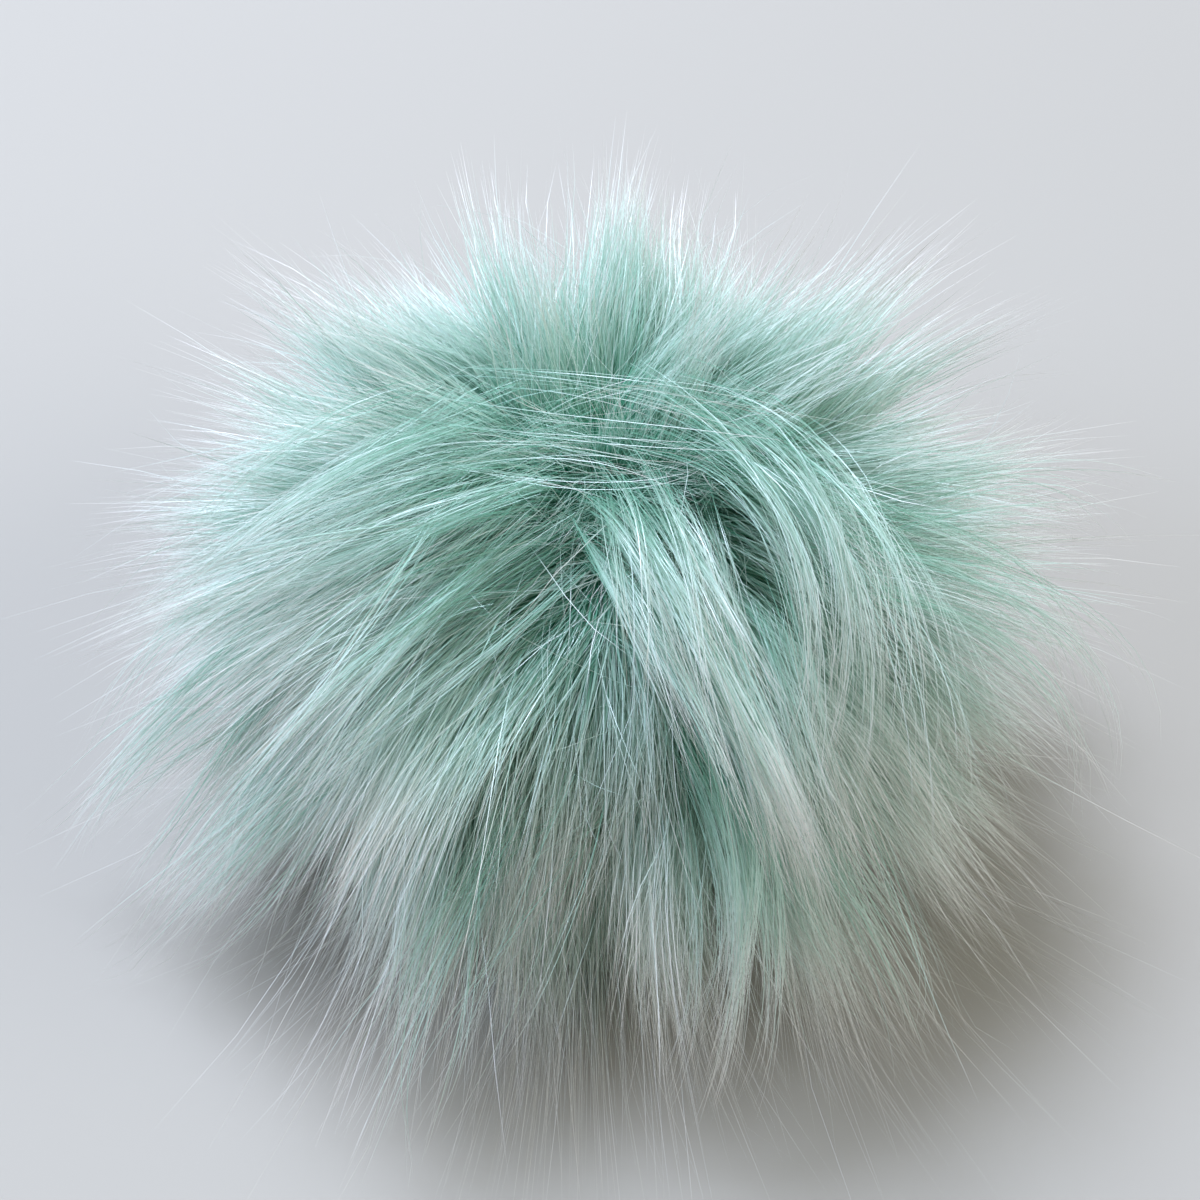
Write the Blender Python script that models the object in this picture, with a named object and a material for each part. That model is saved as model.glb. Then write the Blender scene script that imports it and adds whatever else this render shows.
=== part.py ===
"""Faux-fur pom pom at rest, as one solid: the round mass of its pile with its main locks and tufts.

A circle of long-pile fur is gathered into a ball. The pile stands up in straight tufts over the back and
the crown, and falls over the front and the sides in long pointed locks, down to the surface that the
ball rests on. Each lock is a tapered horn that follows a path given in the ball's own angles, and all of
them are united with the ball. The underside is cut flat, where the ball's weight presses the pile down.

Metres, +Z up. The origin is at the middle of the bounding box's underside. -Y is the front.
"""

from typing import NamedTuple

import bmesh
import bpy
import numpy as np

# Driving dimensions of the pile's round mass.
BALL_WIDTH = 0.118
BALL_DEPTH = 0.112
BALL_HEIGHT = 0.088
PRESSED = 0.006  # how far its weight presses the ball's underside in
MIDDLE = np.array([0.0, 0.0, BALL_HEIGHT / 2 - PRESSED])
LUMP = 0.0016  # height of the soft swellings between the locks
BALL_ROUNDS = 4  # subdivisions of the icosphere under the ball

LOCK_SIDES = 6
LOCK_RINGS = 7
LOCK_FLATNESS = 0.55  # a lock's thickness beside its width
ROOT_SHARE = 0.8  # a lock's width at its root, as a share of its family's width
SWELL = 1.1  # how fast it widens from there
TAPER = 0.8  # how it narrows to its tip: 1 is a straight cone, and less is rounder
ROOT_DEPTH = 0.60  # where a lock starts, as a share of the ball's radius
SKIN = 1.02  # where it lies down, over the ball's surface, before it leaves it again
REACH_SPREAD = 0.30  # how far a lock's free length may differ from its family's, as a share
ROOT_SPREAD = 7.0  # how far its root may lie off its family's row, in degrees
TURN_SPREAD = 6.0  # how far its tip may swing round from its family's, in degrees
WIDTH_SPREAD = 0.18  # how far its width may differ, as a share
GOLDEN = 0.6180339887  # steps by this share spread values evenly with no visible order

FUR_GREEN = (0.33, 0.60, 0.50, 1.0)
FUR_ROUGHNESS = 0.75
SHARP_ANGLE = 50.0  # edges that turn more than this, in degrees, stay sharp


class Locks(NamedTuple):
    """One family of like locks. Azimuths run from +X towards +Y, elevations from the waist, in degrees."""

    count: int
    first_azimuth: float
    last_azimuth: float
    root_elevation: float
    tip_elevation: float
    turn: float  # azimuth of the tip less that of the root
    reach: float  # distance of the tip from the ball's middle, in radii of the ball
    width: float


FAMILIES = {
    "crown whorl": Locks(7, -20, 300, 86, 58, 24, 1.08, 0.022),
    "crown tufts": Locks(7, 14, 166, 62, 56, 6, 1.20, 0.020),
    "upper back": Locks(10, 2, 178, 40, 36, 0, 1.30, 0.023),
    "back": Locks(13, -4, 184, 14, 10, 0, 1.32, 0.024),
    "back rim": Locks(11, 6, 174, -14, -22, 0, 1.32, 0.024),
    "left sweep": Locks(4, 162, 208, 66, 8, 6, 1.27, 0.024),
    "front cascade": Locks(5, 236, 304, 70, -6, -4, 1.16, 0.022),
    "right arch": Locks(4, 318, 356, 62, 2, -10, 1.18, 0.020),
    "front shoulder": Locks(10, 196, 348, 26, -18, 3, 1.30, 0.023),
    "front rim": Locks(14, 186, 356, -10, -34, 2, 1.42, 0.021),
}


def clear_scene():
    """Removes every object of the open scene."""
    for found in list(bpy.data.objects):
        bpy.data.objects.remove(found, do_unlink=True)


def fur_material():
    """The mint pile's plain colour and roughness."""
    material = bpy.data.materials.new("mint_pile")
    material.use_nodes = True
    shader = material.node_tree.nodes["Principled BSDF"]
    shader.inputs["Base Color"].default_value = FUR_GREEN
    shader.inputs["Roughness"].default_value = FUR_ROUGHNESS
    return material


def on_ball(azimuth, elevation, radii):
    """Points at these angles, in degrees, and this many radii from the ball's middle."""
    turn = np.radians(azimuth)
    rise = np.radians(elevation)
    way = np.stack([np.cos(rise) * np.cos(turn), np.cos(rise) * np.sin(turn), np.sin(rise)], axis=-1)
    half = np.array([BALL_WIDTH, BALL_DEPTH, BALL_HEIGHT]) / 2
    return MIDDLE + way * half * np.asarray(radii)[..., None]


def uneven(index, rate):
    """A steady, unordered value from -1 to 1 for this index."""
    return 2 * ((index * rate * GOLDEN + 0.37 * rate) % 1.0) - 1


def lock_path(family, place, index):
    """Ring centres of one lock: it leaves the ball outwards, then bends over to its tip's angles."""
    along = np.linspace(0, 1, LOCK_RINGS + 1)
    azimuth = family.first_azimuth + place * (family.last_azimuth - family.first_azimuth)
    azimuth = azimuth + 0.5 * ROOT_SPREAD * uneven(index, 2)
    azimuth = azimuth + (family.turn + TURN_SPREAD * uneven(index, 3)) * along
    fall = family.tip_elevation - family.root_elevation
    elevation = family.root_elevation + ROOT_SPREAD * uneven(index, 5) + fall * along**1.3
    reach = 1 + (family.reach - 1) * (1 + REACH_SPREAD * uneven(index, 7))
    radii = SKIN - (SKIN - ROOT_DEPTH) * (1 - along) ** 4 + (reach - SKIN) * along**2
    return on_ball(azimuth, elevation, radii)


def lock_mesh(name, centres, width):
    """A closed horn of oval rings along the centres. It swells over its first part and runs to a point."""
    along = np.linspace(0, 1, LOCK_RINGS + 1)[:-1]
    half = width / 2 * (ROOT_SHARE + SWELL * along) * (1 - along) ** TAPER
    ahead = np.gradient(centres, axis=0)
    ahead /= np.linalg.norm(ahead, axis=1, keepdims=True)
    across = np.cross(ahead, centres[0] - MIDDLE)
    across /= np.linalg.norm(across, axis=1, keepdims=True)
    through = np.cross(across, ahead)
    angle = np.arange(LOCK_SIDES) * 2 * np.pi / LOCK_SIDES
    oval = (
        np.cos(angle)[None, :, None] * across[:-1, None]
        + LOCK_FLATNESS * np.sin(angle)[None, :, None] * through[:-1, None]
    )
    rings = centres[:-1, None] + half[:, None, None] * oval
    points = np.vstack([rings.reshape(-1, 3), centres[-1:]])
    tip = len(points) - 1
    faces = [list(range(LOCK_SIDES))]
    for side in range(LOCK_SIDES):
        after = (side + 1) % LOCK_SIDES
        for ring in range(LOCK_RINGS - 1):
            low = ring * LOCK_SIDES
            high = low + LOCK_SIDES
            faces.append([low + side, low + after, high + after, high + side])
        last = (LOCK_RINGS - 1) * LOCK_SIDES
        faces.append([last + side, last + after, tip])
    return closed_mesh(name, points, faces)


def closed_mesh(name, points, faces):
    """A mesh of these points and faces, all of them facing out."""
    mesh = bpy.data.meshes.new(name)
    mesh.from_pydata([tuple(point) for point in points], [], faces)
    shape = bmesh.new()
    shape.from_mesh(mesh)
    bmesh.ops.recalc_face_normals(shape, faces=shape.faces)
    shape.to_mesh(mesh)
    shape.free()
    return mesh


def ball_points():
    """Points and faces of the ball: an icosphere stretched to its size, with soft swellings on it."""
    shape = bmesh.new()
    bmesh.ops.create_icosphere(shape, subdivisions=BALL_ROUNDS, radius=1.0)
    way = np.array([vert.co[:] for vert in shape.verts])
    faces = [[vert.index for vert in face.verts] for face in shape.faces]
    shape.free()
    swell = np.sin(7 * way[:, 0] + 1.3) * np.sin(6 * way[:, 1] - 0.4) * np.sin(8 * way[:, 2] + 0.9)
    azimuth = np.degrees(np.arctan2(way[:, 1], way[:, 0]))
    elevation = np.degrees(np.arcsin(np.clip(way[:, 2], -1, 1)))
    return on_ball(azimuth, elevation, 1 + LUMP / (BALL_HEIGHT / 2) * swell), faces


def helper(name, mesh, parent, collection):
    """An object that shapes the solid and isn't part of it."""
    made = bpy.data.objects.new(name, mesh)
    made.parent = parent
    made.hide_render = True
    made.display_type = "WIRE"
    collection.objects.link(made)
    return made


def boolean(piece, name, operation, **operand):
    """A Boolean modifier, with its operand an object or a collection."""
    modifier = piece.modifiers.new(name, "BOOLEAN")
    modifier.operation = operation
    modifier.solver = "EXACT"
    for key, value in operand.items():
        setattr(modifier, key, value)


def box_middle(shapes):
    """The middle, in plan, of all these meshes above the resting plane."""
    points = np.vstack([[vert.co[:] for vert in mesh.vertices] for mesh in shapes])
    points = points[points[:, 2] > 0]
    return (points[:, :2].min(axis=0) + points[:, :2].max(axis=0)) / 2


def ground_mesh():
    """The block under the resting plane, which is cut away from the ball and its locks."""
    size = 3 * BALL_WIDTH
    shape = bmesh.new()
    bmesh.ops.create_cube(shape, size=size)
    bmesh.ops.translate(shape, verts=shape.verts, vec=(0, 0, -size / 2))
    mesh = bpy.data.meshes.new("ground")
    shape.to_mesh(mesh)
    shape.free()
    return mesh


def outer_shell(piece):
    """The evaluated mesh of a piece without the pockets that crossing locks may close off inside it."""
    bpy.context.view_layer.update()
    evaluated = piece.evaluated_get(bpy.context.evaluated_depsgraph_get())
    mesh = bpy.data.meshes.new_from_object(evaluated)
    shape = bmesh.new()
    shape.from_mesh(mesh)
    left = set(shape.faces)
    shells = []
    while left:
        shell = set()
        reached = [left.pop()]
        while reached:
            face = reached.pop()
            shell.add(face)
            near = {other for edge in face.edges for other in edge.link_faces} & left
            left -= near
            reached.extend(near)
        shells.append(shell)
    largest = max(shells, key=len)
    inner = [face for shell in shells if shell is not largest for face in shell]
    bmesh.ops.delete(shape, geom=inner, context="FACES")
    shape.to_mesh(mesh)
    shape.free()
    mesh.shade_smooth()
    mesh.set_sharp_from_angle(angle=np.radians(SHARP_ANGLE))
    return mesh


def build():
    """Makes the one node, fur_ball."""
    clear_scene()
    scene = bpy.context.scene.collection
    ball = closed_mesh("fur_ball", *ball_points())
    ball.materials.append(fur_material())
    locks = []
    for family_name, family in FAMILIES.items():
        for number in range(family.count):
            index = len(locks) + 1
            path = lock_path(family, number / max(family.count - 1, 1), index)
            width = family.width * (1 + WIDTH_SPREAD * uneven(index, 11))
            locks.append(lock_mesh(f"{family_name} {number}", path, width))
    middle = box_middle([ball, *locks])

    frame = bpy.data.objects.new("frame", None)
    frame.location = (-middle[0], -middle[1], 0)
    scene.objects.link(frame)
    helpers = bpy.data.collections.new("locks")
    scene.children.link(helpers)
    for mesh in locks:
        helper(mesh.name, mesh, frame, helpers)
    ground = helper("ground", ground_mesh(), frame, scene)

    fur_ball = bpy.data.objects.new("fur_ball", ball)
    fur_ball.parent = frame
    scene.objects.link(fur_ball)
    boolean(fur_ball, "locks", "UNION", operand_type="COLLECTION", collection=helpers)
    boolean(fur_ball, "resting plane", "DIFFERENCE", object=ground)
    united = outer_shell(fur_ball)
    fur_ball.modifiers.clear()
    fur_ball.data = united


build()
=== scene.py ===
"""Looks of the faux-fur pom pom: the hairs of its pile, the skin they grow from, the studio and the camera.

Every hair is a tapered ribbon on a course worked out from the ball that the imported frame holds. The comb says
how the pile lies: straight tufts behind the crown's parting, and long locks that fall over the front and the
sides from a whorl. Hairs gather into wisps and wisps into locks, which run out to points.
"""

import logging
from dataclasses import dataclass, field, fields
from enum import Enum
from typing import NamedTuple

import bpy
import numpy as np
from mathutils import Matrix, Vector
from numpy.typing import NDArray


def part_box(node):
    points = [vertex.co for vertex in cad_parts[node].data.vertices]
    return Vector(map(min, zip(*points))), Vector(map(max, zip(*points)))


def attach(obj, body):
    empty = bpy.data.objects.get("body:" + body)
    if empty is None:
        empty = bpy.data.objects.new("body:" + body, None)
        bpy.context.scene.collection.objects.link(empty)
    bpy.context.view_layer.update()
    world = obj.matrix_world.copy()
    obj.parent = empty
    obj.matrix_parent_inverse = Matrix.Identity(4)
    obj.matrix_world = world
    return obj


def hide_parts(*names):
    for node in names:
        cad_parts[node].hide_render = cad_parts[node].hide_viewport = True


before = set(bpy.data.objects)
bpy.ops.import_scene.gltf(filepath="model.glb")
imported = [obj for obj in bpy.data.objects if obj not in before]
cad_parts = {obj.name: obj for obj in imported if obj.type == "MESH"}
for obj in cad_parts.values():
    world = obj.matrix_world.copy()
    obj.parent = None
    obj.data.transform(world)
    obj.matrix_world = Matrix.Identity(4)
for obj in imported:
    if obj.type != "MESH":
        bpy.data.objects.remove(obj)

Array = NDArray[np.float64]
Rows = NDArray[np.int64]
Range = tuple[float, float]
Colour = tuple[float, float, float]

LOG = logging.getLogger("pom_pom")
NODE = "fur_ball"
BODY = "root"
UV_NAME = "OFBake"
MAP_WIDTH = 0.006  # how wide a hair is on the colour map
MAP_EDGE = 0.01  # how far its ends stay inside the map


# --- Small shared sums ---


def unit(vectors: Array) -> Array:
    """Vectors divided by their own length, along the last axis."""
    return vectors / np.maximum(np.linalg.norm(vectors, axis=-1, keepdims=True), 1e-12)


def smooth(low: float, high: float, values: Array) -> Array:
    """Rises from 0 at low to 1 at high as 3s^2 - 2s^3, and is flat outside them."""
    share = np.clip((values - low) / (high - low), 0.0, 1.0)
    return share * share * (3.0 - 2.0 * share)


def way(azimuth: float, elevation: float) -> Array:
    """The unit direction at an azimuth from +X towards +Y and an elevation over the waist, in degrees."""
    turn, rise = np.radians(azimuth), np.radians(elevation)
    return np.array([np.cos(rise) * np.cos(turn), np.cos(rise) * np.sin(turn), np.sin(rise)])


def angles_from(centre: Array, roots: Array) -> Array:
    """The angle from a centre to each root, in degrees, by the arc cosine of their dot product."""
    return np.degrees(np.arccos(np.clip(roots @ centre, -1.0, 1.0)))


def away_from(centre: Array, roots: Array) -> Array:
    """Unit tangents of the ball at the roots that lead away from a centre.

    Args:
        centre: A unit direction.
        roots: Unit directions, a row each.

    Returns:
        Minus the part of the centre that is square to each root, at unit length.
    """
    return unit((roots @ centre)[:, None] * roots - centre)


def leaning(roots: Array, tangents: Array, angle: Array) -> Array:
    """Directions turned from the roots towards their tangents: cos(angle) root + sin(angle) tangent."""
    return np.cos(angle)[:, None] * roots + np.sin(angle)[:, None] * tangents


def spread_over_ball(count: int, rng: np.random.Generator, jitter: float) -> Array:
    """Directions spread evenly over a whole ball, on a golden spiral that is then shaken.

    Args:
        count: How many.
        rng: Where the shake comes from.
        jitter: The shake, as a share of the distance between neighbours.

    Returns:
        Unit directions. The height falls evenly and the azimuth steps by the golden angle.
    """
    number = np.arange(count) + 0.5
    height = 1.0 - 2.0 * number / count
    turn = np.pi * (1.0 + 5.0**0.5) * number
    flat = np.sqrt(1.0 - height**2)
    even = np.stack([flat * np.cos(turn), flat * np.sin(turn), height], axis=1)
    return unit(even + jitter * np.sqrt(4.0 * np.pi / count) * rng.normal(size=(count, 3)))


def nearest(points: Array, centres: Array, step: int = 4096) -> Rows:
    """For each unit direction, the row of the centre with the largest dot product with it."""
    found = [np.argmax(points[at : at + step] @ centres.T, axis=1) for at in range(0, len(points), step)]
    return np.concatenate(found)


# --- Shape of the pile ---


@dataclass(frozen=True)
class Ball:
    """The round mass of the pile, in the frame: an ellipsoid with a middle and three half sizes."""

    middle: Array
    half: Array

    MIDDLE_SHARE = (0.5, 0.488, 0.44)
    HALF_SHARE = (0.310, 0.326, 0.465)

    @classmethod
    def in_box(cls, low: Array, high: Array) -> "Ball":
        """The ball whose locks fill this box.

        Args:
            low: The box's lowest corner.
            high: Its highest corner.

        Returns:
            A ball placed and sized by its shares of the box's sides, a little in front of the middle. The
            longest locks stand out of it by most of its half size.
        """
        side = high - low
        return cls(low + side * np.array(cls.MIDDLE_SHARE), side * np.array(cls.HALF_SHARE))

    def place(self, directions: Array, radii: Array) -> Array:
        """Points at these directions and radii: middle + half * direction * radius."""
        return self.middle + self.half * directions * radii[..., None]


@dataclass(frozen=True)
class Courses:
    """How each hair of a group runs, a row each: directions from the ball's middle, radii in half sizes."""

    root: Array
    bend: Array
    tip: Array
    skin: Array
    reach: Array
    lay: Array

    ROOT_RADIUS = 0.60
    RISE_POWER = 3.2
    LIFT_POWER = 2.8

    def rows(self, chosen: Rows) -> "Courses":
        """The courses of the chosen rows."""
        return Courses(*(getattr(self, part.name)[chosen] for part in fields(self)))

    def points(self, ball: Ball, along: Array) -> Array:
        """Points of every hair.

        The direction is a quadratic Bezier curve from root by bend to tip, at unit length. The radius of a
        straight hair grows evenly from ROOT_RADIUS to reach. A laid hair rises fast to the skin of its
        neighbours, lies on it, and lifts off towards its tip:
        skin - (skin - ROOT_RADIUS)(1 - t)^RISE_POWER + (reach - skin) t^LIFT_POWER, where 1 - t is 0 past
        the course's end.

        Args:
            ball: The ball that the hairs grow on.
            along: A row of shares of the length for each hair, 0 at its root.

        Returns:
            An array of hairs by shares by 3.
        """
        t = along[..., None]
        root, bend, tip = self.root[:, None], self.bend[:, None], self.tip[:, None]
        direction = unit((1 - t) ** 2 * root + 2 * t * (1 - t) * bend + t**2 * tip)
        skin, reach, lay = self.skin[:, None], self.reach[:, None], self.lay[:, None]
        straight = self.ROOT_RADIUS + (reach - self.ROOT_RADIUS) * along
        laid = (
            skin
            - (skin - self.ROOT_RADIUS) * np.maximum(1 - along, 0.0) ** self.RISE_POWER
            + (reach - skin) * along**self.LIFT_POWER
        )
        return ball.place(direction, (1 - lay) * straight + lay * laid)


class Lock(NamedTuple):
    """One lock that the comb alone doesn't make. Angles are in degrees, radii in the ball's half sizes."""

    root: tuple[float, float]
    bend: tuple[float, float]
    tip: tuple[float, float]
    skin: float
    reach: float
    grip: float  # the angle over which it gathers the hairs around its root


LOCKS = {
    "left sweep": Lock((196, 70), (202, 50), (192, 12), 0.99, 1.36, 9),
    "left sweep under": Lock((222, 58), (217, 36), (212, 0), 0.99, 1.46, 8),
    "cascade": Lock((284, 72), (286, 58), (288, 34), 1.00, 1.15, 7),
    "cascade under": Lock((284, 54), (286, 40), (288, 16), 0.98, 1.22, 6),
    "cascade side": Lock((271, 58), (281, 48), (288, 22), 0.99, 1.22, 5),
    "inner fall": Lock((316, 64), (308, 50), (302, 28), 0.98, 1.14, 8),
    "right arch": Lock((352, 66), (330, 56), (308, 26), 1.03, 1.22, 8),
    "front left": Lock((240, 52), (236, 28), (232, -6), 1.06, 1.54, 10),
    "front middle": Lock((254, 44), (250, 24), (243, -8), 1.03, 1.54, 8),
    "front recess": Lock((266, 30), (265, 13), (264, -6), 0.70, 0.94, 12),
    "recess side": Lock((262, 46), (254, 28), (246, 0), 1.00, 1.42, 7),
    "front recess, lower": Lock((265, 6), (264, -6), (263, -20), 0.70, 1.04, 10),
    "small lock": Lock((302, 42), (298, 28), (300, 0), 1.04, 1.24, 5),
    "pale clump": Lock((290, 18), (286, 0), (280, -26), 1.05, 1.56, 6),
    "front left rim": Lock((228, -2), (226, -14), (223, -30), 1.06, 1.82, 12),
    "left recess": Lock((221, 32), (216, 15), (210, -5), 0.70, 1.06, 8),
    "left floor": Lock((214, -6), (214, -16), (216, -30), 1.04, 1.70, 9),
    "left rim": Lock((196, 4), (194, -8), (192, -24), 1.08, 1.50, 9),
}


@dataclass(frozen=True)
class Comb:
    """How the pile lies, from any root to its tip."""

    crown: tuple[float, float] = (100.0, 79.0)  # the pile runs away from here on every side
    hollow: tuple[float, float] = (265.0, 66.0)  # the gap on the front that the locks part around
    hollow_width: float = 11.5
    hollow_depth: float = 0.26
    hollow_stray: float = 0.07
    parting: float = 1.8  # how strongly the locks turn aside at the hollow
    fan: float = 0.05  # how strongly the falling pile spreads to the sides
    heights: tuple[float, ...] = (-60.0, -35.0, -10.0, 15.0, 40.0, 65.0, 85.0)  # degrees, for the rows below
    front_lean: tuple[float, ...] = (8.0, 10.0, 20.0, 36.0, 56.0, 56.0, 12.0)
    back_lean: tuple[float, ...] = (18.0, 14.0, 14.0, 15.0, 14.0, 10.0, 5.0)
    sway: float = 0.8  # how far the standing pile leans to its sides, in patches
    front_reach: tuple[float, ...] = (1.34, 1.72, 1.78, 1.58, 1.30, 1.16, 1.08)
    back_reach: tuple[float, ...] = (1.30, 1.48, 1.57, 1.57, 1.52, 1.32, 1.16)
    front_skin: float = 0.94  # the radius that the fallen pile lies at
    falls_over: Range = (-0.70, 0.20)  # the y over which the pile turns from fallen to standing
    bend_share: Range = (0.34, 0.46)  # how much of its tip's lean a bend has, in front and behind
    hollow_dip: float = 0.3  # how much of the hollow's depth the tips' reach loses
    lifted: float = 0.9  # how far the standing pile is from lying on its neighbours
    bend_stray: float = 0.4  # how much of its tip's stray a bend has
    stray_power: float = 0.6  # how unequal the strays are
    uneven_range: float = 1.7  # the farthest from even a length may be, in steps of its unevenness
    skin_uneven: float = 0.25  # how uneven the radius that hairs lie at is, as a share of their lengths' own
    lock_keeps: float = 0.55  # how much of their distance apart the hairs of a lock keep
    locks: tuple[Lock, ...] = tuple(LOCKS.values())

    def standing(self, roots: Array) -> Array:
        """How far the pile stands at these roots: 1 behind the crown, and 0 on the front, where it falls."""
        return smooth(*self.falls_over, roots[:, 1])

    def sideways(self, roots: Array, near: Array) -> Array:
        """How far the hairs at these roots turn to the east of their way from the crown.

        Args:
            roots: Unit directions.
            near: How near each is to the hollow, from 0 to 1.

        Returns:
            On the front, parting * near * tanh(x / 0.05) + fan * tanh(x / 0.3), with x from the hollow.
            Behind the crown, sway * sin(7x + 5z) * cos(6y - 3z), which leans the tufts in patches.
        """
        back = self.standing(roots)
        x, y, z = roots.T
        aside = x - way(*self.hollow)[0]
        parted = self.parting * near * np.tanh(aside / 0.05) + self.fan * np.tanh(aside / 0.3)
        patches = np.sin(7.0 * x + 5.0 * z) * np.cos(6.0 * y - 3.0 * z)
        return (1.0 - back) * parted + back * self.sway * patches

    def courses(self, roots: Array, rng: np.random.Generator, stray: float, uneven: float) -> Courses:
        """The courses of hairs with these roots.

        A tip leans from its root by an angle that depends on height, away from the crown and turned sideways.
        Near the hollow the pile lies lower and strays more, by exp(-(angle / hollow_width)^2).

        Args:
            roots: Unit directions.
            rng: Where the strays come from.
            stray: How far a tip may stray from the comb, in radians. A few stray several times as far.
            uneven: How unequal the lengths are, as a share.

        Returns:
            Their courses.
        """
        rise = np.degrees(np.arcsin(np.clip(roots[:, 2], -1.0, 1.0)))
        back = self.standing(roots)
        near = np.exp(-((angles_from(way(*self.hollow), roots) / self.hollow_width) ** 2))
        east = unit(np.cross(np.array([0.0, 0.0, 1.0]), roots))
        turned = self.sideways(roots, near)
        tangents = unit(away_from(way(*self.crown), roots) + turned[:, None] * east)

        def by_height(back_row: tuple[float, ...], front_row: tuple[float, ...]) -> Array:
            """A value read from two rows of the heights, behind the crown and in front of it."""
            far, near_side = (np.interp(rise, self.heights, row) for row in (back_row, front_row))
            return back * far + (1.0 - back) * near_side

        lean = np.radians(by_height(self.back_lean, self.front_lean))
        in_front, behind = self.bend_share
        made = self.gathered(
            Courses(
                roots,
                leaning(roots, tangents, lean * (in_front + (behind - in_front) * back)),
                leaning(roots, tangents, lean),
                self.front_skin - self.hollow_depth * near,
                by_height(self.back_reach, self.front_reach) - self.hollow_dip * self.hollow_depth * near,
                1.0 - self.lifted * back,
            )
        )
        shake = rng.normal(size=(len(roots), 3)) * (stray + self.hollow_stray * near)[:, None]
        shake *= np.exp(self.stray_power * rng.normal(size=(len(roots), 1)))
        most = self.uneven_range
        return Courses(
            made.root,
            unit(made.bend + self.bend_stray * shake),
            unit(made.tip + shake),
            made.skin * (1.0 + self.skin_uneven * uneven * rng.uniform(-most, most, size=len(roots))),
            made.reach * (1.0 + uneven * rng.uniform(-most, most, size=len(roots))),
            made.lay,
        )

    def gathered(self, made: Courses) -> Courses:
        """The courses with those near a lock's root bent on to that lock's own course.

        Args:
            made: Courses from the comb alone.

        Returns:
            Each course mixed with the lock's by exp(-(angle / grip)^2), with angle from root to root.
        """
        parts = {part.name: getattr(made, part.name) for part in fields(made)}
        for lock in self.locks:
            centre = way(*lock.root)
            pull = np.exp(-((angles_from(centre, made.root) / lock.grip) ** 2))
            side = made.root - centre
            for name, aim in (("bend", way(*lock.bend)), ("tip", way(*lock.tip))):
                own = unit(aim + self.lock_keeps * side)
                parts[name] = unit(parts[name] * (1.0 - pull[:, None]) + own * pull[:, None])
            for name, aim in (("skin", lock.skin), ("reach", lock.reach), ("lay", 1.0)):
                parts[name] = parts[name] * (1.0 - pull) + aim * pull
        return Courses(**parts)


# --- Hairs ---


STANDING: Range = (0.5, 2.0)  # ranges of the comb's standing
FALLING: Range = (-1.0, 0.5)
EVERYWHERE: Range = (-1.0, 2.0)


@dataclass(frozen=True)
class Coat:
    """One kind of hair in the pile."""

    count: int  # over the whole ball, before the choice of where it grows
    grows: Range
    segments: int
    length: Range  # as shares of the full course
    width: float
    drawn_in: tuple[float, float, float]  # how far it closes on its hank, lock and wisp, from 0 to 1
    stray: float
    uneven: float
    frizz: float  # the size of its waves, in metres
    over: float  # how far over the others it lies, as a share of its distance from the ball's middle
    tone: Range  # across the colour map


COATS = {
    "standing pile": Coat(
        53000, STANDING, 6, length=(0.32, 1.02), width=0.00011, drawn_in=(0.33, 0.82, 0.50),
        stray=0.05, uneven=0.04, frizz=0.0003, over=0.0, tone=(0.30, 0.74),
    ),
    "falling pile": Coat(
        64000, FALLING, 7, length=(0.42, 1.04), width=0.000092, drawn_in=(0.58, 0.90, 0.50),
        stray=0.05, uneven=0.05, frizz=0.0004, over=0.0, tone=(0.14, 0.68),
    ),
    "underfur": Coat(
        13000, EVERYWHERE, 3, length=(0.30, 0.60), width=0.00032, drawn_in=(0.20, 0.45, 0.40),
        stray=0.08, uneven=0.05, frizz=0.0008, over=0.0, tone=(0.20, 0.55),
    ),
    "standing guard hairs": Coat(
        13000, STANDING, 5, length=(0.50, 1.04), width=0.00009, drawn_in=(0.34, 0.80, 0.30),
        stray=0.10, uneven=0.08, frizz=0.0006, over=0.0, tone=(0.55, 0.82),
    ),
    "falling guard hairs": Coat(
        22000, FALLING, 7, length=(0.50, 1.06), width=0.00009, drawn_in=(0.48, 0.82, 0.25),
        stray=0.08, uneven=0.08, frizz=0.0008, over=0.05, tone=(0.55, 0.82),
    ),
    "stray hairs": Coat(
        4000, EVERYWHERE, 6, length=(0.45, 0.85), width=0.00007, drawn_in=(0.00, 0.25, 0.10),
        stray=0.42, uneven=0.10, frizz=0.0022, over=0.08, tone=(0.70, 0.90),
    ),
}


class Gather(NamedTuple):
    """A size of bundle that the hairs gather in. The larger ones come first."""

    count: int  # over the whole ball
    stray: float  # how far a bundle strays from the comb, in radians
    uneven: float  # how unequal their lengths are, as a share
    starts: float  # the share of the length at which the hairs start to close
    ends: float  # and at which they are as close as they get
    shade: float  # how much lighter or darker whole bundles are


GATHERS = {
    "hank": Gather(74, stray=0.10, uneven=0.09, starts=0.05, ends=0.80, shade=0.08),
    "lock": Gather(360, stray=0.12, uneven=0.15, starts=0.05, ends=0.80, shade=0.10),
    "wisp": Gather(4000, stray=0.06, uneven=0.08, starts=0.05, ends=0.95, shade=0.06),
}


class Wisp(NamedTuple):
    """A wisp that lies loose over the pile. Each place is an azimuth, an elevation and a radius."""

    root: tuple[float, float, float]
    bend: tuple[float, float, float]
    tip: tuple[float, float, float]
    strands: int
    hairs: int  # in each strand
    root_spread: float
    tip_spread: float
    # pale above 0.88 whitens a wisp as a painted highlight, for light that it catches
    pale: float = 0.88  # where its tips are on the colour map


# The wisps given pale over 0.88 carry a painted highlight: they are whitened for the light they catch.
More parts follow.
